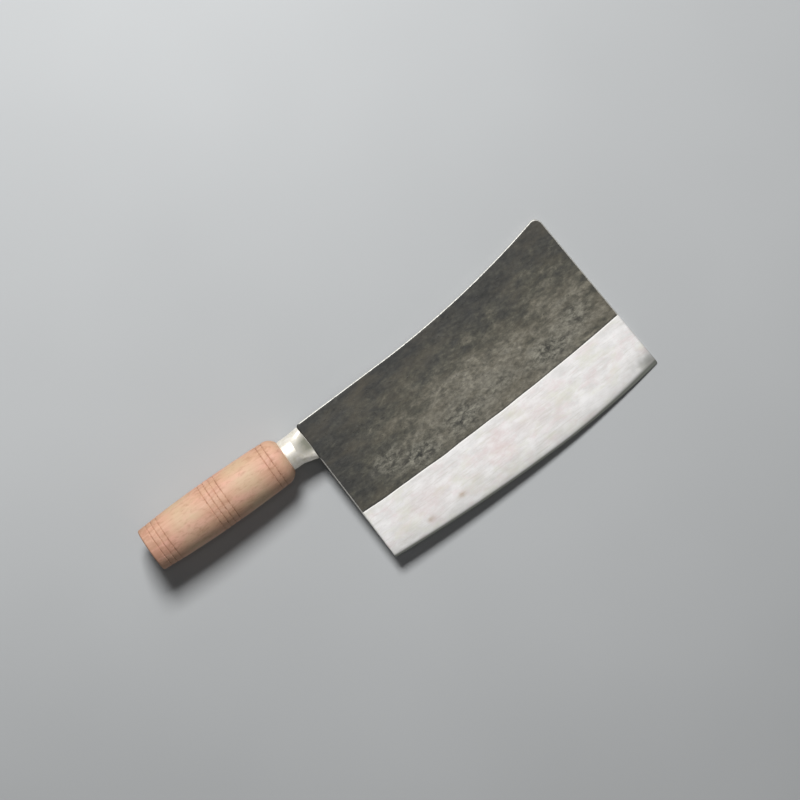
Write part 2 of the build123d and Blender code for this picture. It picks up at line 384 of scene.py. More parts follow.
def blade_surface(x, y, border, ends, seed):
    """Half thickness of one side of the blade over its plan."""
    half = flat_half_thickness(x, y)
    half = half + 0.045 * waves(x, y, 34, seed) + 0.02 * waves(x, y, 9, seed + 1)
    half = half + dents(x, y, 70, seed + 2, 8.0, 0.10)
    grind_row, shoulder_row = ends[0], ends[3]
    top_y, low_y = y[grind_row], y[shoulder_row]
    top_half = flat_half_thickness(x[grind_row], top_y)
    ground = slice(grind_row, shoulder_row + 1)
    share = (top_y - y[ground]) / (top_y - low_y)
    smooth = top_half + share * (SHOULDER_HALF_THICKNESS - top_half)
    hollow = 0.05 * waves(x[ground], y[ground], 30, seed + 3) * np.sin(math.pi * np.clip(share, 0, 1))
    half[ground] = smooth + hollow
    half[grind_row] = top_half + 0.01 * waves(x[grind_row], top_y, 20, seed + 4)
    honed = slice(shoulder_row, None)
    drop = (low_y - y[honed]) / (low_y - y[-1])
    half[honed] = SHOULDER_HALF_THICKNESS + np.clip(drop, 0, 1) * (
        APEX_HALF_THICKNESS - SHOULDER_HALF_THICKNESS
    )
    ease = np.minimum(EASED_EDGE, 0.55 * half)
    gone = np.clip(1 - border / EASED_EDGE, 0, 1)
    return half - ease * (1 - np.sqrt(1 - gone * gone))


class Shell:
    """Collects points and faces, with the material slot of each face.

    A row may carry two numbers for the materials: one for wear and painted light, which is bare metal
    painted bright as a highlight on the blade, dirt in the rings of the grip and painted shade in the
    collar's pinched waist, and one for the honed bevel, which is painted dark as shade and a dark
    reflection."""

    def __init__(self):
        self.points = []
        self.wear_and_painted_light = []
        self.honed = []
        self.faces = []
        self.slots = []

    def row(self, x, y, z, wear_and_painted_light=0.0, honed=0.0):
        """Adds a row of points and returns their numbers."""
        first = len(self.points)
        x, y, z, wear_and_painted_light, honed = np.broadcast_arrays(x, y, z, wear_and_painted_light, honed)
        self.points += list(zip(x.tolist(), y.tolist(), z.tolist()))
        self.wear_and_painted_light += wear_and_painted_light.tolist()
        self.honed += honed.tolist()
        return list(range(first, len(self.points)))

    def join(self, lower, upper, slot=0, closed=False):
        """Adds four-sided faces between two rows of point numbers."""
        count = len(lower)
        for i in range(count if closed else count - 1):
            j = (i + 1) % count
            self.face((lower[i], lower[j], upper[j], upper[i]), slot)

    def face(self, corners, slot=0):
        """Adds one face from point numbers."""
        self.faces.append(tuple(corners))
        self.slots.append(slot)


SCALE_SLOT, GROUND_SLOT, RIM_SLOT = 0, 1, 2


def blade_body_shell(x, y, border, ends, upper, lower):
    """The forged body: both flats, the upper part of the ground band, and the slit for the steel."""
    shell = Shell()
    grind_row, core_row, weld_row = ends[:3]
    # the eased border is bare metal, which the scale's material paints bright as a highlight
    wear_and_painted_light = np.clip(1 - border / (2.2 * EASED_EDGE), 0, 1)
    top = [shell.row(x[r], y[r], upper[r], wear_and_painted_light[r]) for r in range(weld_row + 1)]
    slit_rows = range(weld_row, core_row - 1, -1)
    slit_top = [shell.row(x[r], y[r], CORE_HALF_THICKNESS) for r in slit_rows]
    slit_low = [shell.row(x[r], y[r], -CORE_HALF_THICKNESS) for r in reversed(slit_rows)]
    low = [shell.row(x[r], y[r], -lower[r], wear_and_painted_light[r]) for r in range(weld_row, -1, -1)]
    loop = top + slit_top + slit_low + low
    for index in range(len(loop)):
        following = loop[(index + 1) % len(loop)]
        on_top = index < grind_row
        on_low = len(loop) - 1 - grind_row <= index < len(loop) - 1
        on_spine = index == len(loop) - 1
        slot = RIM_SLOT if on_spine else SCALE_SLOT if on_top or on_low else GROUND_SLOT
        shell.join(loop[index], following, slot)
    low = low[::-1]
    slit_top = slit_top[::-1]
    for column, flip in ((0, False), (-1, True)):
        for r in range(weld_row):
            slot = RIM_SLOT if r < grind_row else GROUND_SLOT
            if r < core_row - 1:
                caps = [[top[r], top[r + 1], low[r + 1], low[r]]]
            elif r == core_row - 1:
                caps = [[top[r], top[r + 1], slit_top[0], slit_low[0], low[r + 1], low[r]]]
            else:
                s = r - core_row
                caps = [
                    [top[r], top[r + 1], slit_top[s + 1], slit_top[s]],
                    [slit_low[s], slit_low[s + 1], low[r + 1], low[r]],
                ]
            for cap in caps:
                corners = [row[column] for row in cap]
                shell.face(corners[::-1] if flip else corners, slot)
    return shell


def edge_steel_shell(x, y, ends, upper, lower):
    """The steel: a slab hidden in the slit, and bare below the weld down to the edge."""
    shell = Shell()
    core_row, weld_row, shoulder_row = ends[1:4]
    inner = CORE_HALF_THICKNESS
    loop = [shell.row(x[r], y[r], inner) for r in range(core_row, weld_row)]
    loop += [shell.row(x[weld_row], y[weld_row], inner)]
    # how dark each row of the bevel is painted, as shade and a dark reflection
    honed = [0.95 * min(max(r - shoulder_row, 0) / 3, 1) for r in range(len(x))]
    outer = range(weld_row, len(x))
    loop += [shell.row(x[r], y[r], upper[r], 0, honed[r]) for r in outer]
    half_way = len(loop)
    loop += [shell.row(x[r], y[r], -lower[r], 0, honed[r]) for r in reversed(outer)]
    loop += [shell.row(x[r], y[r], -inner) for r in range(weld_row, core_row - 1, -1)]
    for index in range(len(loop)):
        shell.join(loop[index], loop[(index + 1) % len(loop)])
    top, low = loop[:half_way], loop[half_way:][::-1]
    for column, flip in ((0, False), (-1, True)):
        for r in range(half_way - 1):
            corners = [row[column] for row in (top[r], top[r + 1], low[r + 1], low[r])]
            shell.face(corners[::-1] if flip else corners)
    return shell


def tang_stations():
    """Half width and middle of the tang at places along the grip, then its peened head."""
    places = []
    for place in np.concatenate([np.linspace(-1.5, 1.5, 3), np.linspace(2.5, TANG_WAIST_X, 8)]):
        share = min(max((place - 1.5) / (TANG_WAIST_X - 1.5), 0), 1)
        width = TANG_ROOT_HALF_WIDTH + share * (TANG_WAIST_HALF_WIDTH - TANG_ROOT_HALF_WIDTH)
        places.append((place, width, MOUTH_SHIFT * (1 - share)))
    end = BUTT_X - RECESS_DEPTH + WASHER_THICKNESS
    for place in np.linspace(TANG_WAIST_X + 6, end - 0.1, 20):
        share = (place - TANG_WAIST_X) / (end - TANG_WAIST_X)
        width = TANG_WAIST_HALF_WIDTH + share * (TANG_END_HALF_WIDTH - TANG_WAIST_HALF_WIDTH)
        places.append((place, width, 0.0))
    return places, end


def add_tang(shell):
    """Adds the tang and its hammered head, drawn in the grip's frame, to the body's shell."""
    turn = math.radians(180 - GRIP_TURN)
    angle = around(sides=40)
    square_y = np.sign(np.cos(angle)) * np.abs(np.cos(angle)) ** 0.35
    square_z = np.sign(np.sin(angle)) * np.abs(np.sin(angle)) ** 0.35
    places, end = tang_stations()
    rings = []
    for place, width, shift in places:
        rings.append((place + 0 * angle, shift + width * square_y, TANG_HALF_THICKNESS * square_z))
    head = [(0.0, 0.86), (0.12, 0.98), (0.42, 1.0), (0.72, 0.9), (0.92, 0.62), (0.99, 0.3)]
    for rise, reach in head:
        ragged = 1 + 0.035 * np.sin(3 * angle + 1) + 0.02 * np.sin(7 * angle)
        radius = TANG_HEAD_RADIUS * reach * ragged
        dimple = 0.05 * np.sin(2 * angle + rise * 5)
        place = end + TANG_HEAD_HEIGHT * rise + dimple * rise
        rings.append((place + 0 * angle, radius * np.cos(angle), radius * np.sin(angle)))
    rows = []
    for along, across, height in rings:
        knife_x = along * math.cos(turn) - across * math.sin(turn)
        knife_y = GRIP_AXIS_Y + along * math.sin(turn) + across * math.cos(turn)
        rows.append(shell.row(knife_x, knife_y, height, 1.0))
    for lower, upper in zip(rows, rows[1:]):
        shell.join(upper, lower, RIM_SLOT, closed=True)
    shell.face(rows[0], RIM_SLOT)
    shell.face(rows[-1][::-1], RIM_SLOT)


def groove_places():
    """Where the turned rings lie along the grip."""
    return [first + turn * GROOVE_PITCH for first, count in GROOVE_GROUPS for turn in range(count)]


def barrel_radius(x):
    """Radius of the turned barrel, its shoulder and its rounded butt, without the grooves."""
    run = x - GRIP_BELLY_X
    radius = GRIP_BELLY_RADIUS - run * run / (2 * np.where(run < 0, GRIP_FRONT_CURVE, GRIP_BUTT_CURVE))
    # the shoulder is an arc that leaves the barrel smoothly and ends on the front face
    start_radius = GRIP_BELLY_RADIUS - (SHOULDER_X - GRIP_BELLY_X) ** 2 / (2 * GRIP_FRONT_CURVE)
    slope = (GRIP_BELLY_X - SHOULDER_X) / GRIP_FRONT_CURVE
    length = SHOULDER_X - COLLAR_LENGTH
    fall = start_radius - FRONT_FACE_RADIUS - slope * length
    arc = (length * length + fall * fall) / (2 * fall)
    back = np.clip(SHOULDER_X - x, 0, length)
    shoulder = start_radius - slope * back - (arc - np.sqrt(arc * arc - back * back))
    radius = np.where(x < SHOULDER_X, shoulder, radius)
    to_butt = np.clip((x - (BUTT_X - BUTT_ROUND)) / BUTT_ROUND, 0, 1)
    return radius - BUTT_ROUND * (1 - np.sqrt(1 - to_butt * to_butt))


def groove_cut(x):
    """Depth of the turned rings at x, as soft V cuts."""
    cut = 0 * x
    for place in groove_places():
        cut = np.maximum(cut, np.clip(1 - np.abs(x - place) / GROOVE_HALF_WIDTH, 0, 1))
    return GROOVE_DEPTH * cut ** 1.2


def handle_shell():
    """The turned grip: tenon, front face, barrel with rings, butt, recess and bore."""
    shell = Shell()
    angle = around(sides=168)
    collar_bore = COLLAR_RADIUS - COLLAR_WALL
    recess_x = BUTT_X - RECESS_DEPTH
    barrel_x = np.unique(np.concatenate([
        np.linspace(COLLAR_LENGTH, SHOULDER_X, 26),
        np.linspace(SHOULDER_X, BUTT_X - BUTT_ROUND, 205),
        np.linspace(BUTT_X - BUTT_ROUND, BUTT_X, 8),
        np.concatenate([
            place + GROOVE_HALF_WIDTH * np.array([-1, -0.5, -0.2, 0, 0.2, 0.5, 1])
            for place in groove_places()
        ]),
    ]).round(4))
    cut = groove_cut(barrel_x)
    profile = [(COLLAR_ROUND_START, BORE_RADIUS, 0), (COLLAR_ROUND_START, collar_bore, 0)]
    profile += [(COLLAR_LENGTH, collar_bore, 0)]
    profile += list(zip(barrel_x, barrel_radius(barrel_x) - cut, cut / GROOVE_DEPTH))
    profile += [(BUTT_X, RECESS_RADIUS + reach, 0) for reach in (3.0, 1.6, 0.0)]
    profile += [(recess_x, RECESS_RADIUS, 0)]
    bore_x = np.linspace(recess_x, COLLAR_ROUND_START, 12)[:-1]
    profile += [(place, BORE_RADIUS, 0) for place in bore_x]
    rows = []
    for place, radius, mark in profile:
        on_barrel = radius > RECESS_RADIUS + 0.3 and COLLAR_LENGTH < place < BUTT_X - 0.05
        uneven = 0
        if on_barrel:
            along = place + 0 * angle
            uneven = 0.10 * np.cos(2 * angle + 0.9)
            uneven = uneven + 0.05 * waves(along, 14 * np.cos(angle), 18, 61)
            uneven = uneven + 0.035 * waves(along, 16 * np.sin(angle), 5, 62)
        reach = radius + uneven
        rows.append(shell.row(place, reach * np.cos(angle), reach * np.sin(angle), mark))
    for lower, upper in zip(rows, rows[1:] + rows[:1]):
        shell.join(lower, upper, closed=True)
    return shell


def collar_section(share, inset, angle):
    """Breadth and height of the collar's wall: share 0 at its pinched start, 1 where round.

    The pinched section is two rolled lobes joined by a waist on each side. A quarter of the
    angles go to each lobe and a quarter to each waist."""
    lobe = MOUTH_LOBE_RADIUS - inset
    centre = MOUTH_REACH - MOUTH_LOBE_RADIUS
    waist = MOUTH_WAIST - inset
    quarter = angle / (2 * math.pi) * 4 + 0.5
    index = np.floor(quarter).astype(int) % 4
    local = quarter % 1 - 0.5
    on_lobe = index % 2 == 0
    lobe_side = np.where(index == 2, -1, 1)
    waist_side = np.where(index == 3, -1, 1)
    lobe_y = lobe_side * (centre + lobe * np.cos(local * math.pi))
    lobe_z = lobe_side * lobe * np.sin(local * math.pi)
    waist_y = -waist_side * local * 2 * centre
    waist_z = waist_side * (waist + (lobe - waist) * (2 * local) ** 2)
    mouth_y = np.where(on_lobe, lobe_y, waist_y) + MOUTH_SHIFT
    mouth_z = np.where(on_lobe, lobe_z, waist_z)
    radius = COLLAR_RADIUS - inset
    return (
        (1 - share) * mouth_y + share * radius * np.cos(angle),
        (1 - share) * mouth_z + share * radius * np.sin(angle),
    )


def heel_trim(across):
    """Where the heel lies along the grip's axis, at a distance across it."""
    lean = math.radians(GRIP_TURN) + math.atan2(HEEL_BOTTOM[0], -HEEL_BOTTOM[1])
    return -across * math.tan(lean) - heel_x(GRIP_AXIS_Y)


def collar_shell():
    """Sheet-metal collar with an outer and an inner wall, a seam underneath and small dents."""
    shell = Shell()
    angle = around(sides=192)
    from_seam = angle - 1.5 * math.pi
    seam = 0.22 * np.exp(-((from_seam / 0.035) ** 2))
    rows = []

    def ring(place, inset, lip=0.0):
        """One ring of a wall: place 0 is on the heel and 1 where the collar becomes round."""
        along = place * COLLAR_ROUND_START
        for _ in range(3):
            share = np.clip((along - MOUTH_START) / (COLLAR_ROUND_START - MOUTH_START), 0, 1)
            across, height = collar_section(share, inset, angle)
            if place <= 1:
                start = heel_trim(across) + 0.02
                along = start + place * (COLLAR_ROUND_START - start)
        grown = 1 - lip / COLLAR_RADIUS
        if inset == 0:
            ripple = waves(1.5 * along, 9 * np.sin(angle) + 7 * np.cos(angle), 8, 77)
            grown = grown + 0.003 * np.minimum(ripple, 0) - seam / COLLAR_RADIUS
        # painted shade: the pinched waist between the lobes is marked to be painted darker
        painted_waist_shade = (1 - share) ** 0.7 * np.clip(1.5 - np.abs(across - MOUTH_SHIFT) / 5.5, 0, 1)
        rows.append(shell.row(along, across * grown, height * grown, painted_waist_shade))

    shares = np.linspace(0, 1, 32)
    tube = np.linspace(1, COLLAR_LENGTH / COLLAR_ROUND_START, 14)[1:]
    for place in shares:
        ring(place, 0, 0.12 if place == 0 else 0)
    for place in tube:
        ring(place, 0, 0.2 if place == tube[-1] else 0)
    for place in tube[::-1]:
        ring(place, COLLAR_WALL)
    for place in shares[::-1]:
        ring(place, COLLAR_WALL)
    for lower, upper in zip(rows, rows[1:] + rows[:1]):
        shell.join(upper, lower, closed=True)
    return shell


def washer_shell():
    """The washer let into the butt, with softened rims round its edge and its hole."""
    shell = Shell()
    angle = around(sides=96)
    base = BUTT_X - RECESS_DEPTH
    top = base + WASHER_THICKNESS
    soft = 0.18
    profile = [
        (base, WASHER_HOLE_RADIUS), (base, WASHER_RADIUS - soft), (base + soft, WASHER_RADIUS),
        (top - soft, WASHER_RADIUS), (top - 0.3 * soft, WASHER_RADIUS - 0.3 * soft),
        (top, WASHER_RADIUS - soft), (top - 0.05, 7.4), (top - 0.02, 5.8),
        (top, WASHER_HOLE_RADIUS + soft), (top - soft, WASHER_HOLE_RADIUS),
    ]
    rows = [
        shell.row(place, radius * np.cos(angle), radius * np.sin(angle)) for place, radius in profile
    ]
    for lower, upper in zip(rows, rows[1:] + rows[:1]):
        shell.join(lower, upper, closed=True)
    return shell


# ======================================================================
# materials
# ======================================================================

def colour(red, green, blue):
    """A colour given as 0 to 255 display values, turned into the linear values of a shader."""
    values = []
    for level in (red, green, blue):
        level = level / 255
        values.append(level / 12.92 if level <= 0.04045 else ((level + 0.055) / 1.055) ** 2.4)
    return (*values, 1.0)


class Finish:
    """A node material and short calls that add to its tree."""

    def __init__(self, name, **constants):
        self.material = bpy.data.materials.new(name)
        self.material.use_nodes = True
        self.tree = self.material.node_tree
        self.shader = self.tree.nodes["Principled BSDF"]
        for socket, value in constants.items():
            self.shader.inputs[socket.replace("_", " ")].default_value = value
        self.place = self.node("ShaderNodeAttribute", attribute_name="place").outputs["Vector"]

    def node(self, kind, inputs=None, **settings):
        node = self.tree.nodes.new(kind)
        for name, value in settings.items():
            setattr(node, name, value)
        for name, value in (inputs or {}).items():
            if isinstance(value, bpy.types.NodeSocket):
                self.tree.links.new(value, node.inputs[name])
            else:
                node.inputs[name].default_value = value
        return node

    def mark(self, name):
        return self.node("ShaderNodeAttribute", attribute_name=name).outputs["Fac"]

    def stretch(self, scale, turn=0.0):
        """The place on the piece, squeezed per axis so that a texture comes out stretched."""
        inputs = {"Vector": self.place, "Scale": scale, "Rotation": (0, 0, math.radians(turn))}
        return self.node("ShaderNodeMapping", inputs).outputs["Vector"]

    def noise(self, vector, size, detail=4.0, roughness=0.55, distortion=0.0):
        inputs = {
            "Vector": vector, "Scale": 1 / size, "Detail": detail,
            "Roughness": roughness, "Distortion": distortion,
        }
        return self.node("ShaderNodeTexNoise", inputs).outputs["Fac"]

    def ramp(self, factor, *stops):
        """A soft ramp: stops are (position, value), where the value is a colour or a grey."""
        node = self.node("ShaderNodeValToRGB", {"Fac": factor})
        elements = node.color_ramp.elements
        while len(elements) < len(stops):
            elements.new(0.5)
        for element, (position, value) in zip(elements, stops):
            element.position = position
            element.color = value if isinstance(value, tuple) else (value, value, value, 1.0)
        return node.outputs["Color"]

    def mix(self, factor, first, second, blend="MIX"):
        node = self.node("ShaderNodeMix", {0: factor}, data_type="RGBA", blend_type=blend)
        for index, value in ((6, first), (7, second)):
            if isinstance(value, bpy.types.NodeSocket):
                self.tree.links.new(value, node.inputs[index])
            else:
                node.inputs[index].default_value = value
        return node.outputs[2]

    def math(self, operation, first, second=0.0):
        node = self.node("ShaderNodeMath", {0: first, 1: second}, operation=operation)
        return node.outputs[0]

    def bump(self, height, distance, strength=1.0, under=None):
        inputs = {"Height": height, "Distance": distance * MM, "Strength": strength}
        if under is not None:
            inputs["Normal"] = under
        return self.node("ShaderNodeBump", inputs).outputs["Normal"]

    def use(self, **sockets):
        """Links outputs to the shader's sockets and returns the material."""
        for name, output in sockets.items():
            self.tree.links.new(output, self.shader.inputs[name.replace("_", " ")])
        return self.material


def forge_scale():
    """Black forge scale: mottled olive grey, paler where handled, speckled near the band, with painted
    shade beside the collar and along the band's top, and a painted highlight on the bare eased border.
    """
    f = Finish("forge_scale", Metallic=0.0, IOR=1.5)
    blotch = f.noise(f.stretch((0.55, 1.0, 1.0), -10), 6.5, 7, 0.64, 0.35)
    mottle = f.noise(f.stretch((0.6, 1.0, 1.0), 6), 2.2, 6, 0.68, 0.2)
    grain = f.noise(f.stretch((0.7, 1.0, 1.0)), 0.7, 5, 0.7)
    tone = f.math("ADD", blotch, f.math("MULTIPLY", f.mark("pale"), 0.24))
    base = f.ramp(
        tone,
        (0.26, colour(37, 37, 34)),
        (0.44, colour(54, 53, 47)),
        (0.58, colour(70, 68, 58)),
        (0.74, colour(98, 94, 82)),
        (0.90, colour(118, 114, 102)),
    )
    fine = f.ramp(mottle, (0.32, 0.50), (0.50, 0.95), (0.70, 1.6))
    base = f.mix(1.0, base, fine, "MULTIPLY")
    rusty = f.noise(f.stretch((0.4, 1.0, 1.0), 15), 12.0, 5, 0.6, 0.4)
    base = f.mix(f.ramp(rusty, (0.48, 0.0), (0.72, 0.5)), base, colour(82, 75, 60))
    # above the ground band the scale is broken into pale flakes and dark pits
    broken = f.noise(f.stretch((0.6, 1.0, 1.0), 10), 2.9, 7, 0.70, 0.2)
    crumbs = f.ramp(
        broken, (0.38, colour(26, 26, 23)), (0.48, colour(84, 82, 73)), (0.62, colour(138, 135, 122))
    )
    speckle = f.ramp(f.mark("speckle"), (0.10, 0.0), (0.65, 0.9))
    base = f.mix(speckle, base, crumbs)
    pits = f.ramp(f.noise(f.stretch((0.7, 1.0, 1.0)), 1.3, 4, 0.6), (0.30, 1.0), (0.37, 0.0))
    base = f.mix(f.math("MULTIPLY", pits, 0.6), base, colour(20, 20, 18))
    # a painted dark line of shade along the step above the ground band
    base = f.mix(f.ramp(f.mark("band_border_glint_and_shade"), (0.2, 0.0), (0.8, 0.85)), base, colour(32, 31, 28))
    # the filed border shows bare metal, painted bright as a highlight where the eased edge catches
    # light
    rub = f.math("ADD", f.mark("wear_and_painted_light"), f.math("MULTIPLY", grain, 0.5))
    bare = f.ramp(rub, (0.84, 0.0), (1.0, 1.0))
    base = f.mix(bare, base, colour(214, 212, 206))
    metal = f.math("MULTIPLY", bare, 0.7)
    rough = f.ramp(grain, (0.25, 0.42), (0.75, 0.62))
    normal = f.bump(f.noise(f.stretch((0.6, 1.0, 1.0), 8), 3.0, 8, 0.62), 0.14, 0.7)
    normal = f.bump(f.math("MULTIPLY", broken, speckle), 0.18, 0.5, normal)
    normal = f.bump(pits, -0.08, 0.6, normal)
    return f.use(Base_Color=base, Roughness=rough, Normal=normal, Metallic=metal)


def ground_metal(name, light, dark):
    """Bright ground metal: polished along the blade, clouded with faint pink and cream, with the bevel
    and the places near the edge and tip painted dark as shade and a dark reflection, and a painted
    highlight along the band's top border.
    """
    f = Finish(name, Metallic=0.4)
    fine = f.noise(f.stretch((0.04, 1.0, 1.0), 4), 0.5, 6, 0.7)
    lines = f.noise(f.stretch((0.10, 1.0, 1.0), 3), 1.6, 6, 0.66, 0.2)
    cloud = f.noise(f.stretch((0.5, 1.0, 1.0), 12), 5.0, 7, 0.64, 0.1)
    base = f.ramp(cloud, (0.34, colour(*dark)), (0.62, colour(*light)))
    base = f.mix(f.ramp(lines, (0.34, 0.4), (0.50, 0.0)), base, colour(206, 202, 192))
    pinkish = f.noise(f.stretch((0.6, 1.0, 1.0), -15), 9.0, 7, 0.66, 0.15)
    base = f.mix(f.ramp(pinkish, (0.50, 0.0), (0.68, 0.6)), base, colour(232, 217, 216))
    creamy = f.noise(f.stretch((0.5, 0.9, 1.0), -30), 10.0, 6, 0.64, 0.15)
    base = f.mix(f.ramp(creamy, (0.50, 0.0), (0.70, 0.6)), base, colour(226, 226, 208))
    specks = f.ramp(f.noise(f.stretch((0.8, 1.0, 1.0)), 1.2, 4, 0.6), (0.70, 0.0), (0.76, 0.35))
    base = f.mix(specks, base, colour(160, 144, 124))
    blush = f.math("MULTIPLY", f.mark("blush"), f.ramp(cloud, (0.36, 0.9), (0.66, 0.3)))
    base = f.mix(blush, base, colour(226, 194, 192))
    stain = f.math("MULTIPLY", f.mark("stain"), f.ramp(cloud, (0.36, 0.4), (0.60, 1.0)))
    base = f.mix(stain, base, colour(176, 146, 112))
    # the bevel and the places near the edge and tip are painted dark grey, as shade and a dark
    # reflection
    base = f.mix(f.mark("honed"), base, colour(98, 101, 93))
    # a painted highlight along the band's top border, where the ground shoulder meets the scale
    base = f.mix(f.ramp(f.mark("band_border_glint_and_shade"), (0.1, 0.0), (0.8, 0.9)), base, colour(255, 253, 248))
    rough = f.ramp(fine, (0.28, 0.46), (0.74, 0.58))
    normal = f.bump(fine, 0.010, 0.5)
    normal = f.bump(cloud, 0.02, 0.4, normal)
    return f.use(Base_Color=base, Roughness=rough, Normal=normal)


def collar_metal():
    """Bright sheet metal with a warm cast, polished by handling, with painted shade in the pinched
    waist.
    """
    f = Finish("collar_metal", Metallic=0.5)
    cloud = f.noise(f.stretch((1.0, 1.0, 1.0)), 3.0, 6, 0.62, 0.4)
    scratch = f.noise(f.stretch((0.15, 1.0, 1.0), 4), 0.5, 6, 0.7)
    base = f.ramp(cloud, (0.34, colour(230, 224, 207)), (0.62, colour(253, 248, 239)))
    # painted shade in the pinched waist, darker and greener
    painted_waist_shade = f.ramp(
        f.math("ADD", f.mark("wear_and_painted_light"), f.math("MULTIPLY", cloud, 0.6)), (0.50, 0.0), (1.1, 0.85)
    )
    base = f.mix(painted_waist_shade, base, colour(150, 151, 134))
    rough = f.ramp(scratch, (0.30, 0.34), (0.72, 0.50))
    normal = f.bump(scratch, 0.01, 0.5)
    normal = f.bump(cloud, 0.06, 0.5, normal)
    return f.use(Base_Color=base, Roughness=rough, Normal=normal)


def turned_wood():
    """Bare pinkish hardwood: grain along the handle, pores, faint turned rings and grime."""
    f = Finish("turned_wood", Specular_IOR_Level=0.35)
    warp = f.noise(f.stretch((0.10, 1.0, 1.0)), 11.0, 4, 0.55, 0.3)
    grain = f.noise(f.stretch((0.06, 1.0, 1.0)), 2.6, 7, 0.62, 0.5)
    fibre = f.noise(f.stretch((0.05, 1.0, 1.0)), 0.45, 5, 0.7)
    patch = f.noise(f.stretch((0.5, 1.0, 1.0)), 13.0, 5, 0.58, 0.4)
    base = f.ramp(
        grain,
        (0.26, colour(182, 142, 116)),
        (0.46, colour(197, 159, 133)),
        (0.66, colour(208, 174, 149)),
    )
    pink = f.ramp(patch, (0.44, 0.0), (0.60, 0.8))
    base = f.mix(pink, base, colour(216, 166, 148))
    olive = f.ramp(warp, (0.46, 0.0), (0.62, 0.8))
    base = f.mix(olive, base, colour(188, 158, 126))
    # between the rings the wood is rubbed paler and duller, and round them it is redder
    rubbed = f.math("MULTIPLY", f.mark("plain"), f.ramp(patch, (0.40, 0.75), (0.62, 0.3)))
    base = f.mix(rubbed, base, colour(198, 172, 142))
    redder = f.math("MULTIPLY", f.math("SUBTRACT", 1.0, f.mark("plain")), 0.35)
    base = f.mix(redder, base, colour(206, 154, 132))
    # grime sits in the pores of the worn places, most of all round the rings and the butt
    smear = f.noise(f.stretch((0.45, 1.0, 1.0)), 2.2, 7, 0.68, 0.4)
    level = f.math("ADD", f.math("MULTIPLY", patch, 0.3), smear)
    level = f.math("ADD", level, f.math("MULTIPLY", f.mark("grime"), 0.22))
    base = f.mix(f.ramp(level, (0.66, 0.0), (0.88, 0.55)), base, colour(160, 116, 90))
    pores = f.ramp(f.noise(f.stretch((0.10, 1.0, 1.0)), 0.7, 3, 0.6), (0.62, 0.0), (0.72, 0.35))
    base = f.mix(pores, base, colour(158, 114, 88))
    worn = f.ramp(f.noise(f.stretch((0.6, 1.0, 1.0)), 3.0, 5), (0.44, 0.0), (0.64, 0.7))
    ring_dirt = f.math("MULTIPLY", f.ramp(f.mark("wear_and_painted_light"), (0.12, 0.0), (0.80, 0.9)), worn)
    base = f.mix(ring_dirt, base, colour(138, 96, 74))
    rough = f.ramp(fibre, (0.30, 0.52), (0.70, 0.70))
    normal = f.bump(fibre, 0.05, 0.5)
    normal = f.bump(pores, -0.10, 0.6, normal)
    normal = f.bump(grain, 0.10, 0.3, normal)
    return f.use(Base_Color=base, Roughness=rough, Normal=normal)


def dull_steel(name, dark, light):
    """Plain worn steel, as on the washer and the rims of the blade."""
    f = Finish(name, Metallic=0.85)
    cloud = f.noise(f.stretch((1.0, 1.0, 1.0)), 3.0, 6, 0.62, 0.3)
    grit = f.noise(f.stretch((1.0, 1.0, 1.0)), 0.5, 5, 0.7)
    base = f.ramp(cloud, (0.32, colour(*dark)), (0.68, colour(*light)))
    rust = f.ramp(f.noise(f.stretch((1.0, 1.0, 1.0)), 1.8, 5, 0.65), (0.62, 0.0), (0.72, 0.5))
    base = f.mix(rust, base, colour(112, 84, 62))
    rough = f.ramp(grit, (0.30, 0.38), (0.72, 0.58))
    normal = f.bump(grit, 0.03, 0.6)
    return f.use(Base_Color=base, Roughness=rough, Normal=normal)


def pitch():
    """Dull black-brown pitch around the tang."""
    f = Finish("pitch", Specular_IOR_Level=0.4)
    lumps = f.noise(f.node("ShaderNodeTexCoord").outputs["Object"], 0.002, 5, 0.6)
    base = f.ramp(lumps, (0.3, colour(30, 24, 18)), (0.7, colour(58, 46, 34)))
    rough = f.ramp(lumps, (0.3, 0.45), (0.7, 0.75))
    return f.use(Base_Color=base, Roughness=rough, Normal=f.bump(lumps, 0.2, 0.6))


def table_top():
    """Plain pale floor with a trace of unevenness."""
    f = Finish("table_top", Specular_IOR_Level=0.2)
    spot = f.noise(f.node("ShaderNodeTexCoord").outputs["Object"], 0.35, 3, 0.5)
    base = f.ramp(spot, (0.3, colour(172, 174, 175)), (0.7, colour(180, 182, 183)))
    rough = f.ramp(spot, (0.3, 0.75), (0.7, 0.85))
    return f.use(Base_Color=base, Roughness=rough)


# ======================================================================
# pieces
# ======================================================================

def register(piece, node):
    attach(piece, "root")
    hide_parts(node)


def patches(x, y, places, seed):
    """How strongly each point of the blade lies in any of the patches, with ragged borders."""
    ragged = 1 + 0.22 * waves(x, y, 9, seed) + 0.12 * waves(x, y, 3.5, seed + 1)
    total = 0 * x
    for along, across, reach_along, reach_across, strength in places:
        distance = np.hypot((x - along) / reach_along, (y - across) / reach_across) / ragged
        total = np.maximum(total, strength * np.exp(-distance * distance))
    return total


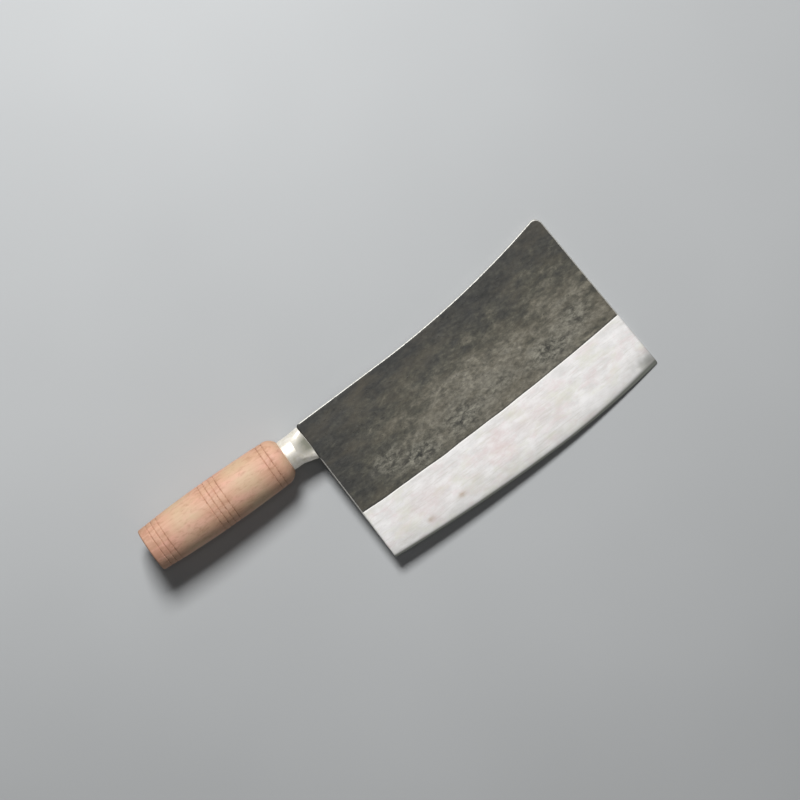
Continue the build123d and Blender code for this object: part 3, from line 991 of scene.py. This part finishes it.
def blade_marks(shell):
    """What the blade's materials read from each point."""
    x, y = np.array(shell.points)[:, 0], np.array(shell.points)[:, 1]
    from_band = np.abs(y - grind_y(x))
    # painted shade beside the collar: the scale there is darkened and shows no bare metal
    collar_shade_zone = np.exp(-(np.hypot(x / 4, (y - GRIP_AXIS_Y) / 13) ** 6))
    # the scale is darkest at the spine, and the band is painted with shade towards the edge
    lower_part = np.clip((-28 - y) / 30, 0, 1) * np.clip(0.3 + x / 120, 0, 1)
    spine_part = np.clip((y + 26) / 22, 0, 1)
    pale = patches(x, y, PALER, 93) - patches(x, y, DARKER, 94) + 0.8 * lower_part - 0.45 * spine_part
    near_edge = np.clip(1 - (y - edge_y(x)) / 14, 0, 1)
    edge_shade = np.maximum(0.7 * patches(x, y, PAINTED_EDGE_SHADE, 97), 0.27 * near_edge)
    return {
        "wear_and_painted_light": shell.wear_and_painted_light * (1 - collar_shade_zone),
        "honed": np.maximum(shell.honed, edge_shade),
        "stain": patches(x, y, STAINS, 91),
        "blush": patches(x, y, BLUSHED, 92),
        "pale": pale - collar_shade_zone,
        "speckle": patches(x, y, SPECKLED, 95),
        # painted highlight on the band's side of its top border, and painted shade on the scale's side
        "band_border_glint_and_shade": np.clip(1 - from_band / 1.3, 0, 1),
    }


def make_blade(scale, ground, steel, rim):
    """The forged body with its tang, and the steel let into it."""
    x, y, border, ends = blade_plan()
    upper = blade_surface(x, y, border, ends, 21)
    lower = blade_surface(x, y, border, ends, 41)
    shell = blade_body_shell(x, y, border, ends, upper, lower)
    add_tang(shell)
    finishes = [scale, ground, rim]
    body = make_piece(
        "forged_blade", shell.points, shell.faces, KNIFE, finishes, shell.slots, blade_marks(shell)
    )
    register(body, "blade_body")
    shell = edge_steel_shell(x, y, ends, upper, lower)
    edge = make_piece(
        "inlaid_edge", shell.points, shell.faces, KNIFE, [steel], None, blade_marks(shell)
    )
    register(edge, "edge_steel")


def make_grip_pieces(wood, collar, washer):
    """The wooden grip, the collar and the washer, which share the grip's frame."""
    made = [
        ("turned_grip", handle_shell(), wood, "handle_grip", "turned_wood"),
        ("pinched_collar", collar_shell(), collar, "neck_ferrule", "collar_metal"),
        ("peened_washer", washer_shell(), washer, "butt_washer", "washer_steel"),
    ]
    for name, shell, material, node, slot in made:
        x = np.array(shell.points)[:, 0]
        from_ring = np.min([np.abs(x - place) for place in groove_places()], axis=0)
        grime = np.maximum(1 - (BUTT_X - x) / 20, 0.5 - from_ring / 8).clip(0, 1)
        plain = np.clip(from_ring / 9 - 0.35, 0, 1)
        marks = {"wear_and_painted_light": shell.wear_and_painted_light, "grime": grime, "plain": plain}
        piece = make_piece(name, shell.points, shell.faces, GRIP, [material], None, marks)
        register(piece, node)


def make_stage():
    """A pale floor at the table's height."""
    half = 3.0
    mesh = bpy.data.meshes.new("floor")
    mesh.from_pydata(
        [(-half, -half, 0), (half, -half, 0), (half, half, 0), (-half, half, 0)], [], [(0, 1, 2, 3)]
    )
    mesh.materials.append(table_top())
    floor = bpy.data.objects.new("floor", mesh)
    bpy.context.collection.objects.link(floor)


def view_directions():
    """The directions on the table that lie to the right and upwards in the picture."""
    right = Vector((math.cos(-VIEW_TURN), math.sin(-VIEW_TURN), 0))
    return right, Vector((-right.y, right.x, 0))


def area_light(name, place, size, power):
    """A square light panel that faces the middle of the table."""
    light = bpy.data.lights.new(name, "AREA")
    light.shape = "SQUARE"
    light.size = size
    light.energy = power
    lamp = bpy.data.objects.new(name, light)
    lamp.location = place
    lamp.rotation_euler = (-Vector(place)).to_track_quat("-Z", "Y").to_euler()
    bpy.context.collection.objects.link(lamp)


def make_lights():
    """A soft key from the top of the picture, a weak panel overhead for the metal, and a fill."""
    right, up = view_directions()
    key = (up * math.cos(KEY_TURN) - right * math.sin(KEY_TURN)) * math.cos(KEY_RISE)
    key = (key + Vector((0, 0, math.sin(KEY_RISE)))) * KEY_DISTANCE
    area_light("key", key, KEY_SIZE, KEY_WATTS)
    area_light("overhead", (0, 0, OVERHEAD_HEIGHT), OVERHEAD_SIZE, OVERHEAD_WATTS)
    fill = right * FILL_RIGHT - up * FILL_DOWN + Vector((0, 0, FILL_HEIGHT))
    area_light("fill", fill, FILL_SIZE, FILL_WATTS)
    world = bpy.data.worlds.new("studio")
    world.use_nodes = True
    background = world.node_tree.nodes["Background"]
    background.inputs["Color"].default_value = SKY_TINT
    background.inputs["Strength"].default_value = SKY_STRENGTH
    bpy.context.scene.world = world
    bpy.context.scene.view_settings.view_transform = "Standard"


def make_camera():
    """Straight above the table, turned so that the blade rises to the right."""
    right, up = view_directions()
    centre = KNIFE.translation + (right * VIEW_CENTRE[0] + up * VIEW_CENTRE[1]) * MM
    camera = bpy.data.cameras.new("camera")
    camera.sensor_width = SENSOR_WIDTH
    camera.lens = camera.sensor_width * VIEW_HEIGHT / VIEW_WIDTH
    camera.clip_start = 0.01
    viewer = bpy.data.objects.new("camera", camera)
    viewer.location = (centre.x, centre.y, centre.z + VIEW_HEIGHT)
    viewer.rotation_euler = (0, 0, -VIEW_TURN)
    bpy.context.collection.objects.link(viewer)
    bpy.context.scene.camera = viewer


make_camera()
make_blade(
    forge_scale(),
    ground_metal("ground_iron", (248, 246, 245), (228, 226, 224)),
    ground_metal("ground_steel", (249, 247, 246), (231, 229, 227)),
    dull_steel("blade_rim", (120, 118, 112), (196, 193, 186)),
)
make_grip_pieces(
    turned_wood(), collar_metal(), dull_steel("washer_steel", (120, 117, 110), (172, 168, 160))
)
bedding = frame["nodes"]["tang_bedding"]
bedding.data.materials.clear()
bedding.data.materials.append(pitch())
make_stage()
make_lights()
